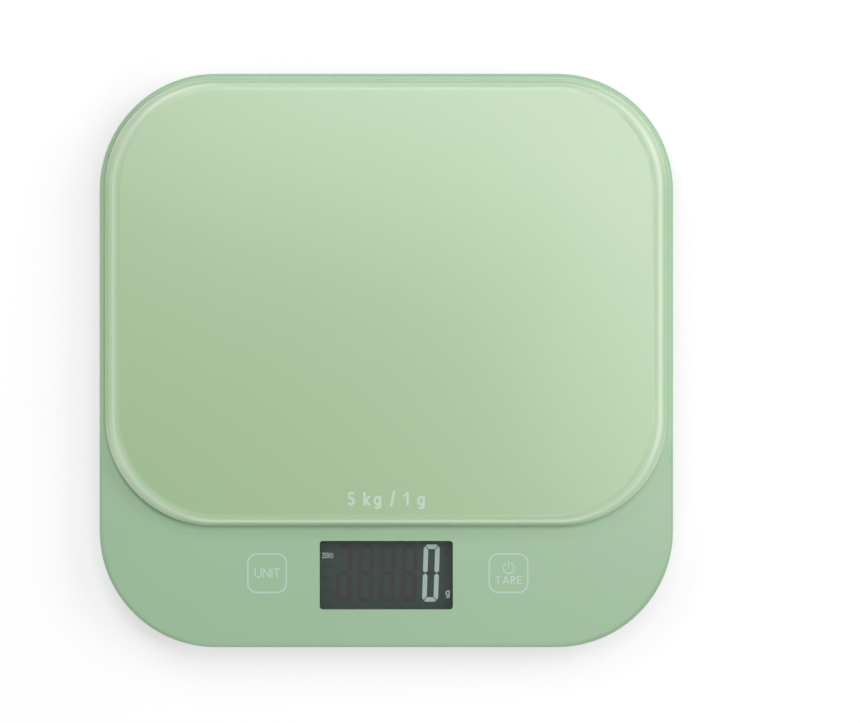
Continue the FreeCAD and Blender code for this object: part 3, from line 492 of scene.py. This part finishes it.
def dress_cad_nodes(materials):
    for part in frame["record"]["subparts"]:
        node = frame["nodes"][part["node"]]
        mat = materials.get(part["node"]) or materials[part["material_slot"]]
        node.data.materials.clear()
        node.data.materials.append(mat)


# ---- thin printed shapes -----------------------------------------------------------------
def arc(cx, cy, rx, ry, start, end, steps=12):
    """Points along an ellipse's arc, angles in degrees."""
    points = []
    for step in range(steps + 1):
        angle = math.radians(start + (end - start) * step / steps)
        points.append((cx + rx * math.cos(angle), cy + ry * math.sin(angle)))
    return points


def ellipse(x, y, rx, ry, steps=28):
    return arc(x, y, rx, ry, 0, 360, steps)[:-1]


def rectangle(x, y, width, height):
    w, h = width / 2, height / 2
    return [(x - w, y - h), (x + w, y - h), (x + w, y + h), (x - w, y + h)]


def rounded_square(x, y, side, corner):
    reach = side / 2 - corner
    points = []
    for turn, (sx, sy) in enumerate(((1, 1), (-1, 1), (-1, -1), (1, -1))):
        points += arc(x + sx * reach, y + sy * reach, corner, corner, turn * 90, turn * 90 + 90, 14)
    return points


def wind(loop, way):
    """The loop running anticlockwise for way 1, or clockwise for way -1."""
    area = sum(a[0] * b[1] - b[0] * a[1] for a, b in zip(loop, loop[1:] + loop[:1]))
    return loop if area * way > 0 else loop[::-1]


def add_plate(verts, faces, loops, z, thick):
    """A thin closed plate from z up by thick. Its loops are the outline and then any holes."""
    loops = [wind(loop, -1 if number else 1) for number, loop in enumerate(loops)]
    points = [point for loop in loops for point in loop]
    low, top = len(verts), len(verts) + len(points)
    for level in (z, z + thick):
        verts += [(x, y, level) for x, y in points]
    for a, b, c in tessellate_polygon([[Vector((x, y, 0)) for x, y in loop] for loop in loops]):
        (ax, ay), (bx, by), (cx, cy) = points[a], points[b], points[c]
        if (bx - ax) * (cy - ay) < (cx - ax) * (by - ay):
            b, c = c, b
        faces.append([top + a, top + b, top + c])
        faces.append([low + c, low + b, low + a])
    start = 0
    for loop in loops:
        for i in range(len(loop)):
            j = (i + 1) % len(loop)
            faces.append([low + start + i, low + start + j, top + start + j, top + start + i])
        start += len(loop)


def print_shapes(name, shapes, z, mat, body, thick=PRINT_THICK):
    """One piece of thin flat shapes on a surface. Each shape is an outline and then its holes."""
    verts, faces = [], []
    for loops in shapes:
        add_plate(verts, faces, loops, z, thick)
    mesh = bpy.data.meshes.new(name)
    mesh.from_pydata(verts, [], faces)
    mesh.validate()
    mesh.materials.append(mat)
    piece = bpy.data.objects.new(name, mesh)
    bpy.context.scene.collection.objects.link(piece)
    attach(piece, body)
    return piece


# ---- letters --------------------------------------------------------------------------------
# Each gives its width and its loops on a cap height of 1, for a pen as wide as t.
X_HEIGHT = 0.72
DESCENT = 0.28


def letter_u(t):
    w, r = 0.80, 0.40
    outer = arc(r, r, r, r, 180, 360, 18)
    inner = arc(r, r, r - t, r - t, 360, 180, 18)
    return w, [[(0, 1)] + outer + [(w, 1), (w - t, 1)] + inner + [(t, 1)]]


def letter_n(t):
    w, d = 0.82, 1.75 * t
    left = [(0, 0), (0, 1), (t, 1), (w - t, d), (w - t, 1)]
    return w, [left + [(w, 1), (w, 0), (w - t, 0), (t, 1 - d), (t, 0)]]


def letter_i(t):
    return t, [[(0, 0), (t, 0), (t, 1), (0, 1)]]


def letter_t(t):
    w = 0.68
    a, b = (w - t) / 2, (w + t) / 2
    return w, [[(0, 1), (0, 1 - t), (a, 1 - t), (a, 0), (b, 0), (b, 1 - t), (w, 1 - t), (w, 1)]]


def letter_a(t):
    w, tip, bar = 0.88, 1.1 * t, 0.22
    lean = (w - tip) / 2
    foot = t * math.hypot(1, lean)

    def inside(y):
        return foot + y * lean, w - foot - y * lean

    low_left, low_right = inside(bar)
    high_left, high_right = inside(bar + t)
    outline = [(0, 0), (lean, 1), (w - lean, 1), (w, 0), (w - foot, 0)]
    outline += [(low_right, bar), (low_left, bar), (foot, 0)]
    hole = [(high_left, bar + t), (high_right, bar + t), (w / 2, (w / 2 - foot) / lean)]
    return w, [outline, hole]


def letter_r(t):
    w, r = 0.64, 0.275
    x, y = w - r - 0.03, 1 - r
    turn = arc(x, y, r, r, 90, -78, 14)
    leg = 1.15 * t
    outline = [(0, 0), (0, 1)] + turn + [(w, 0), (w - leg, 0), (turn[-1][0] - leg, y - r)]
    outline += [(t, y - r), (t, 0)]
    hole = [(t, 1 - t)] + arc(x, y, r - t, r - t, 90, -90, 14) + [(t, y - r + t)]
    return w, [outline, hole]


def letter_e(t):
    w, m = 0.58, 0.05
    a, b = 0.5 - t / 2, 0.5 + t / 2
    top = [(0, 0), (0, 1), (w, 1), (w, 1 - t), (t, 1 - t), (t, b), (w - m, b)]
    return w, [top + [(w - m, a), (t, a), (t, t), (w, t), (w, 0)]]


def zigzag(t, w, h):
    f = 1.25 * t
    down = [(0, h), (w, h), (w, h - t), (f, t), (w, t)]
    return w, [down + [(w, 0), (0, 0), (0, t), (w - f, h - t), (0, h - t)]]


def oval(t, w, low, high):
    x, y = w / 2, (low + high) / 2
    ry = (high - low) / 2
    return w, [ellipse(x, y, x, ry), ellipse(x, y, x - t, ry - t)]


def letter_g(t):
    w, x = 0.58, 0.29
    y, ry = X_HEIGHT / 2, X_HEIGHT / 2 + 0.015
    meet = math.degrees(math.acos((x - t) / x))
    tail = arc(x, 0, x, DESCENT, 0, -150, 14) + arc(x, 0, x - t, DESCENT - t, -150, 0, 14)
    bowl = arc(x, y, x, ry, -meet, meet - 360, 24)
    return w, [[(w, X_HEIGHT)] + tail + bowl + [(w - t, X_HEIGHT)], ellipse(x, y, x - t, ry - t)]


def letter_b(t):
    w, x = 0.58, 0.29
    y, ry = X_HEIGHT / 2, X_HEIGHT / 2 + 0.015
    meet = math.degrees(math.acos((x - t) / x))
    bowl = arc(x, y, x, ry, 180 - meet, meet - 180, 24)
    return w, [[(0, 0), (0, 1), (t, 1)] + bowl + [(t, 0)], ellipse(x, y, x - t, ry - t)]


def letter_k(t):
    w, f, g = 0.56, 1.41 * t, 1.15 * t
    knee = (0.30, 0.66 - f)
    lean = (w - knee[0]) / knee[1]
    arm = [(0, 0), (0, 1), (t, 1), (t, 0.36 + t), (0.34, 0.70), (0.34 + f, 0.70), knee]
    return w, [arm + [(w, 0), (w - g, 0), (t, (w - g - t) / lean), (t, 0)]]


def letter_m(t):
    w = 0.90
    inner = (w - 3 * t) / 4
    outer = inner + t
    y = X_HEIGHT - outer
    first, second = t + inner, w - t - inner
    start = math.degrees(math.acos(-inner / outer))
    meet = math.degrees(math.acos((w / 2 - first) / outer))
    top = arc(first, y, outer, outer, start, meet, 8)
    top += arc(second, y, outer, outer, 180 - meet, 0, 12)[1:]
    right = arc(second, y, inner, inner, 0, 180, 10)
    left = arc(first, y, inner, inner, 0, 180, 10)
    outline = [(0, 0), (0, X_HEIGHT), (t, X_HEIGHT)] + top + [(w, 0), (w - t, 0)] + right
    return w, [outline + [((w + t) / 2, 0), ((w - t) / 2, 0)] + left + [(t, 0)]]


def figure_5(t):
    x, y, rx, ry = 0.27, 0.32, 0.29, 0.33
    flag = [(0.09, 1), (0.53, 1), (0.53, 1 - t), (0.09 + 0.95 * t, 1 - t)]
    bowl = arc(x, y, rx, ry, 108, -148, 24) + arc(x, y, rx - t, ry - t, -148, 128, 24)
    return x + rx, [flag + bowl + [(0.045, 0.49)]]


def figure_1(t):
    w, flag = 0.36, 0.78
    outline = [(w, 0), (w, 1), (w - 0.9 * t, 1), (0, flag), (0, flag - 1.2 * t), (w - t, 0.83)]
    return w, [outline + [(w - t, 0)]]


def slash(t):
    w, past, foot = 0.42, 0.08, 1.05 * t
    return w, [[(0, -past), (foot, -past), (w, 1 + past), (w - foot, 1 + past)]]


LETTERS = {
    "U": letter_u,
    "N": letter_n,
    "I": letter_i,
    "T": letter_t,
    "A": letter_a,
    "R": letter_r,
    "E": letter_e,
    "Z": lambda t: zigzag(t, 0.62, 1.0),
    "O": lambda t: oval(t, 0.78, 0.0, 1.0),
    "g": letter_g,
    "b": letter_b,
    "k": letter_k,
    "m": letter_m,
    "l": letter_i,
    "o": lambda t: oval(t, 0.58, 0.0, X_HEIGHT),
    "z": lambda t: zigzag(t, 0.50, X_HEIGHT),
    "5": figure_5,
    "1": figure_1,
    "/": slash,
    " ": lambda t: (0.22, []),
}


def word(text, x, y, width, height, pen, stretch=1.0):
    """Shapes of a word centred on x, y. The gaps between its letters fill out its width."""
    drawn = [LETTERS[letter](pen / height) for letter in text]
    gap = (width - sum(w for w, loops in drawn) * height * stretch) / max(1, len(text) - 1)
    left, low = x - width / 2, y - height / 2

    def placed(loop):
        return [(left + px * height * stretch, low + py * height) for px, py in loop]

    shapes = []
    for w, loops in drawn:
        if loops:
            shapes.append([placed(loop) for loop in loops])
        left += w * height * stretch + gap
    return shapes


def words(table, x, y):
    """Shapes of all the words of a table, whose places and sizes are in mm from x, y."""
    shapes = []
    for text, dx, dy, width, height, pen, stretch in table:
        shapes += word(text, x + dx * MM, y + dy * MM, width * MM, height * MM, pen * MM, stretch)
    return shapes


# Words: text, middle from the key's or the display's middle (X, Y), width, height, pen, stretch.
KEY_WORDS = {
    "unit": (("UNIT", 0.0, 0.05, 8.9, 3.25, 0.45, 1.0),),
    "tare": (("TARE", 0.0, -2.38, 9.1, 2.8, 0.48, 1.0),),
}
LIT_WORDS = (
    ("ZERO", -20.5, 6.7, 3.9, 1.85, 0.28, 0.74),
    ("g", 21.4, -6.1, 1.55, 2.65, 0.48, 1.0),
)
UNLIT_WORDS = (
    ("TARE", -20.5, 2.75, 3.4, 1.6, 0.40, 0.72),
    ("lb", 21.2, 7.9, 1.5, 2.0, 0.30, 1.0),
    ("oz", 21.2, 4.6, 2.1, 2.0, 0.30, 0.85),
    ("ml", 21.2, 1.0, 2.1, 2.0, 0.26, 0.85),
)
# The mark's middle is MARK_FROM_EDGE behind the platform's front edge.
MARK_WORDS = (("5 kg / 1 g", 0.0, 0.0, 27.0, 4.7, 0.86, 1.0),)


# ---- the keys -----------------------------------------------------------------------------
def print_on_body(name, shapes, ink):
    print_shapes(name, shapes, COVER_TOP, ink, "base")


def make_keys(ink):
    for name, key in (("unit", UNIT_KEY), ("tare", TARE_KEY)):
        x, y = key.x + PRINT_SHIFT, key.y + PRINT_RISE
        outer = rounded_square(x, y, KEY_SIDE + KEY_LINE, KEY_CORNER + KEY_LINE / 2)
        inner = rounded_square(x, y, KEY_SIDE - KEY_LINE, KEY_CORNER - KEY_LINE / 2)
        print_on_body("key_outline_" + name, [[outer, inner]], ink)
        print_on_body("key_word_" + name, words(KEY_WORDS[name], x, y), ink)
    x, y = TARE_KEY.x + PRINT_SHIFT + POWER_SHIFT, TARE_KEY.y + PRINT_RISE + POWER_RISE
    start = 90 + POWER_OPENING / 2
    end = 360 + 90 - POWER_OPENING / 2
    ring = arc(x, y, POWER_OUTER, POWER_OUTER, start, end, 36)
    ring += arc(x, y, POWER_INNER, POWER_INNER, end, start, 36)
    bar = rectangle(x, y + POWER_BAR_RISE, POWER_OUTER - POWER_INNER, POWER_BAR)
    print_on_body("key_power_sign", [[ring], [bar]], ink)


# ---- the display ----------------------------------------------------------------------------
def print_on_display(name, shapes, ink):
    print_shapes(name, shapes, LCD_TOP, ink, "base", DISPLAY_THICK)


def flip(points, sx, sy):
    return [(x * sx, y * sy) for x, y in points]


def digit_segments():
    """Outlines of the seven bars of a digit round its centre: name to points."""
    w, h, t, g = DIGIT_WIDTH / 2, DIGIT_HEIGHT / 2, DIGIT_BAR, DIGIT_GAP
    top = [
        (-w + 0.42 * t, h - 0.3 * t), (-w + 0.75 * t, h), (w - 0.75 * t, h),
        (w - 0.42 * t, h - 0.3 * t), (w - t - g / 2, h - t), (-w + t + g / 2, h - t),
    ]
    upper = [
        (-w, 0.45 * t), (-w, h - 0.85 * t), (-w + 0.3 * t, h - 0.42 * t), (-w + t, h - t - g),
        (-w + t, 0.5 * t), (-w + 0.55 * t, g / 2),
    ]
    cross = [
        (-w + 0.62 * t + g, 0), (-w + 1.1 * t + g, 0.5 * t), (w - 1.1 * t - g, 0.5 * t),
        (w - 0.62 * t - g, 0), (w - 1.1 * t - g, -0.5 * t), (-w + 1.1 * t + g, -0.5 * t),
    ]
    return {
        "top": top, "bottom": flip(top, 1, -1), "middle": cross,
        "upper_left": upper, "upper_right": flip(upper, -1, 1),
        "lower_left": flip(upper, 1, -1), "lower_right": flip(upper, -1, -1),
    }


def make_digits(lit, unlit):
    """A row of digits. Only the last shows, as a zero, and the first has no upper left bar."""
    segments = digit_segments()
    on, off = [], []
    for number in range(DIGITS):
        x = DISPLAY.x + DIGIT_SHIFT + (number - DIGITS // 2) * DIGIT_PITCH
        y = DISPLAY.y + DIGIT_RISE
        for name, points in segments.items():
            if number == 0 and name == "upper_left":
                continue
            shows = number == DIGITS - 1 and name != "middle"
            outline = [(x + px + py * DIGIT_SLANT, y + py) for px, py in points]
            (on if shows else off).append([outline])
    print_on_display("display_digit_lit", on, lit)
    print_on_display("display_digits_faint", off, unlit)


# Unlit signs, in mm from the display's middle: X, Y, width, height.
COLON_DOTS = ((-3.2, 3.6, 1.1, 1.1), (-3.45, -2.3, 1.1, 1.1))
POINT_DOT = (-3.35, -8.9, 0.9, 0.9)    # repeated after the next two digits
MINUS_SIGN = (-20.4, -1.4, 3.2, 1.2)
CELL_CASE = (-20.55, -5.4, 2.7, 1.2)   # the battery sign
CELL_INSIDE = (-20.55, -5.4, 2.1, 0.6)
CELL_KNOB = (-19.05, -5.4, 0.24, 0.6)


def make_display_signs(lit, unlit):
    x, y = DISPLAY.x, DISPLAY.y

    def block(sign, digits=0):
        dx, dy, width, height = (size * MM for size in sign)
        return rectangle(x + dx + digits * DIGIT_PITCH, y + dy, width, height)

    print_on_display("display_signs_lit", words(LIT_WORDS, x, y), lit)
    print_on_display("display_words_faint", words(UNLIT_WORDS, x, y), unlit)
    dots = [[block(dot)] for dot in COLON_DOTS]
    dots += [[block(POINT_DOT, digits)] for digits in (1, 2)]
    signs = [[block(MINUS_SIGN)], [block(CELL_CASE), block(CELL_INSIDE)], [block(CELL_KNOB)]]
    print_on_display("display_dots_faint", dots + signs, unlit)


# ---- the platform's mark and the door's arrow ---------------------------------------------------
def make_capacity_mark(ink):
    shapes = words(MARK_WORDS, PLATFORM.x, PLATFORM_LOW.y + MARK_FROM_EDGE)
    print_shapes("capacity_mark", shapes, PLATFORM_HIGH.z, ink, "platform")


def make_door_arrow(plastic):
    """Raised arrow on the door that shows which way to press the latch."""
    x, back = DOOR.x + ARROW_FROM_MIDDLE, DOOR.y + ARROW_BACK
    arrow = [(x - ARROW_HALF, back), (x, DOOR.y - ARROW_HALF), (x + ARROW_HALF, back)]
    base = DOOR_UNDERSIDE - ARROW_THICK
    print_shapes("door_arrow", [[arrow]], base, plastic, "battery_door", ARROW_THICK)


# ---- stage --------------------------------------------------------------------------------
FRAME_WIDTH = 299.6 * MM       # width of the camera's view on the body's top face
CAMERA_HEIGHT = 1.5            # above that face
VIEW_X = 15.23 * MM            # the object stands left of the middle of the view
VIEW_Y = -0.36 * MM
SENSOR = 36.0
FLOOR_COLOUR = (0.48, 0.48, 0.48)
FLOOR_GLOW = 0.50              # the floor is a lit white table
FLOOR_HALF = 6.0
SKY = 0.09                     # even light from all round
LIGHT_TINT = (1.0, 0.987, 1.01)
SOFTBOXES = (
    # name, place, side, and how bright it alone makes a white floor under the object
    ("overhead_right", (0.22, 0.02, 1.00), 0.25, 0.095),
    ("overhead_rear", (0.01, 0.29, 1.00), 0.39, 0.215),
    ("right", (1.02, 0.12, 0.95), 1.00, 0.29),
    ("rear_right", (0.75, 0.80, 0.90), 0.80, 0.11),
    ("rear_left", (-0.42, 0.92, 1.00), 0.70, 0.155),
    ("left", (-1.05, -0.10, 0.80), 0.80, 0.12),
    ("front", (0.00, -1.10, 0.75), 0.80, 0.13),
)


def make_camera():
    data = bpy.data.cameras.new("camera")
    data.sensor_width = SENSOR
    data.lens = SENSOR * CAMERA_HEIGHT / FRAME_WIDTH
    data.clip_start = 0.05
    data.clip_end = 20.0
    camera = bpy.data.objects.new("camera", data)
    camera.location = (VIEW_X, VIEW_Y, COVER_TOP + CAMERA_HEIGHT)
    bpy.context.scene.collection.objects.link(camera)
    bpy.context.scene.camera = camera


def make_floor():
    mat, tree, shader = new_material("floor_white")
    vary_colour(tree, shader, FLOOR_COLOUR, 0.002, 2.0)
    shader.inputs["Emission Color"].default_value = (1.0, 1.0, 1.0, 1.0)
    shader.inputs["Emission Strength"].default_value = FLOOR_GLOW
    shader.inputs["Roughness"].default_value = 0.9
    shader.inputs["Specular IOR Level"].default_value = 0.1
    mesh = bpy.data.meshes.new("floor")
    corners = [(x, y, 0) for x, y in rectangle(0, 0, 2 * FLOOR_HALF, 2 * FLOOR_HALF)]
    mesh.from_pydata(corners, [], [(0, 1, 2, 3)])
    mesh.materials.append(mat)
    floor = bpy.data.objects.new("floor", mesh)
    bpy.context.scene.collection.objects.link(floor)


def add_softbox(name, place, side, share):
    """A square light that faces the object. Its share is how bright it makes a white floor there."""
    reach = Vector(place)
    data = bpy.data.lights.new(name, "AREA")
    data.size = side
    data.color = LIGHT_TINT
    data.energy = share * math.pi ** 2 * reach.length ** 3 / reach.z
    light = bpy.data.objects.new(name, data)
    light.location = reach
    light.rotation_euler = (-reach).to_track_quat("-Z", "Y").to_euler()
    bpy.context.scene.collection.objects.link(light)


def make_light():
    world = bpy.data.worlds.new("studio")
    world.use_nodes = True
    background = world.node_tree.nodes["Background"]
    background.inputs["Color"].default_value = (1.0, 1.0, 1.0, 1.0)
    background.inputs["Strength"].default_value = SKY
    scene = bpy.context.scene
    scene.world = world
    for softbox in SOFTBOXES:
        add_softbox(*softbox)
    scene.view_settings.view_transform = "Standard"
    scene.view_settings.look = "None"
    scene.view_settings.exposure = 0.0


def main():
    materials = cad_materials()
    dress_cad_nodes(materials)
    make_keys(printed_ink("key_ink", KEY_INK))
    lit = printed_ink("display_lit", LIT_INK, 0.5, LIT_GLOW)
    unlit = printed_ink("display_unlit", UNLIT_INK, 0.5)
    make_digits(lit, unlit)
    make_display_signs(lit, unlit)
    make_capacity_mark(printed_ink("mark_ink", MARK_INK))
    make_door_arrow(materials["base_plastic"])
    make_floor()
    make_light()
    make_camera()


main()
